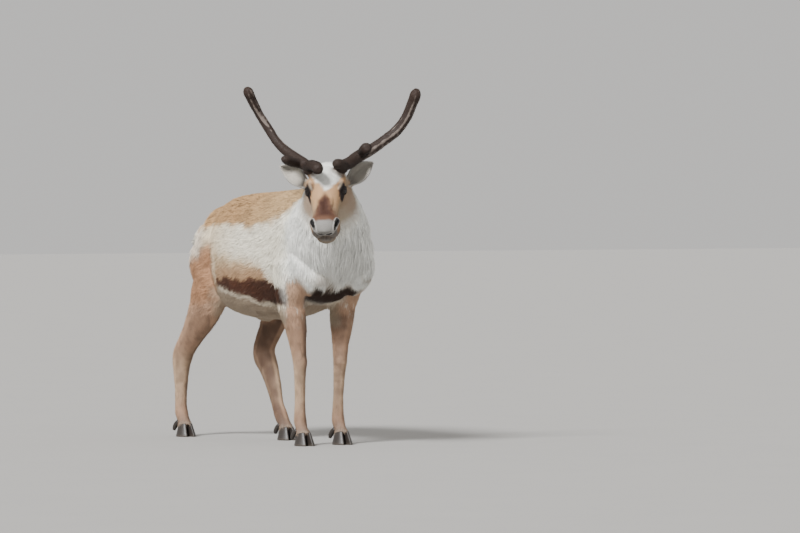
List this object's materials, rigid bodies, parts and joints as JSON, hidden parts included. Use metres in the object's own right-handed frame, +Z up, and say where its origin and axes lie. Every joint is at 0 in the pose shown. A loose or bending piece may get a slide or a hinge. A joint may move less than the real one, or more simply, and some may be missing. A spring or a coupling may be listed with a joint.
{
  "type": "reindeer model",
  "caption": "Life-size reindeer bull in velvet antlers and spring moult, stepping forward with its head turned to its right.",
  "frame": {"origin": "on the floor, under the middle of the animal's box", "axes": "-Y the way the animal faces, +X its left side, +Z up"},
  "size_m": [0.6234, 1.6004, 1.4456],
  "materials": {
    "coat": "matte",
    "velvet": "matte",
    "horn": "satin",
    "eye": "gloss"
  },
  "bodies": {
    "root": {"antler_left_beam_lower": "velvet", "antler_left_beam_upper": "velvet", "antler_left_bez_tine": "velvet", "antler_left_brow_tine": "velvet", "antler_right_beam_lower": "velvet", "antler_right_beam_upper": "velvet", "antler_right_bez_tine": "velvet", "antler_right_brow_tine": "velvet", "ear_left": "coat", "ear_right": "coat", "eye_left": "eye", "eye_right": "eye", "foreleg_left_cannon": "coat", "foreleg_left_claw_inner": "horn", "foreleg_left_claw_outer": "horn", "foreleg_left_dewclaw_inner": "horn", "foreleg_left_dewclaw_outer": "horn", "foreleg_left_foot": "coat", "foreleg_left_upper": "coat", "foreleg_right_cannon": "coat", "foreleg_right_claw_inner": "horn", "foreleg_right_claw_outer": "horn", "foreleg_right_dewclaw_inner": "horn", "foreleg_right_dewclaw_outer": "horn", "foreleg_right_foot": "coat", "foreleg_right_upper": "coat", "head": "coat", "hind_left_cannon": "coat", "hind_left_claw_inner": "horn", "hind_left_claw_outer": "horn", "hind_left_dewclaw_inner": "horn", "hind_left_dewclaw_outer": "horn", "hind_left_foot": "coat", "hind_left_upper": "coat", "hind_right_cannon": "coat", "hind_right_claw_inner": "horn", "hind_right_claw_outer": "horn", "hind_right_dewclaw_inner": "horn", "hind_right_dewclaw_outer": "horn", "hind_right_foot": "coat", "hind_right_upper": "coat", "neck": "coat", "tail": "coat", "torso": "coat"}
  },
  "joints": []
}
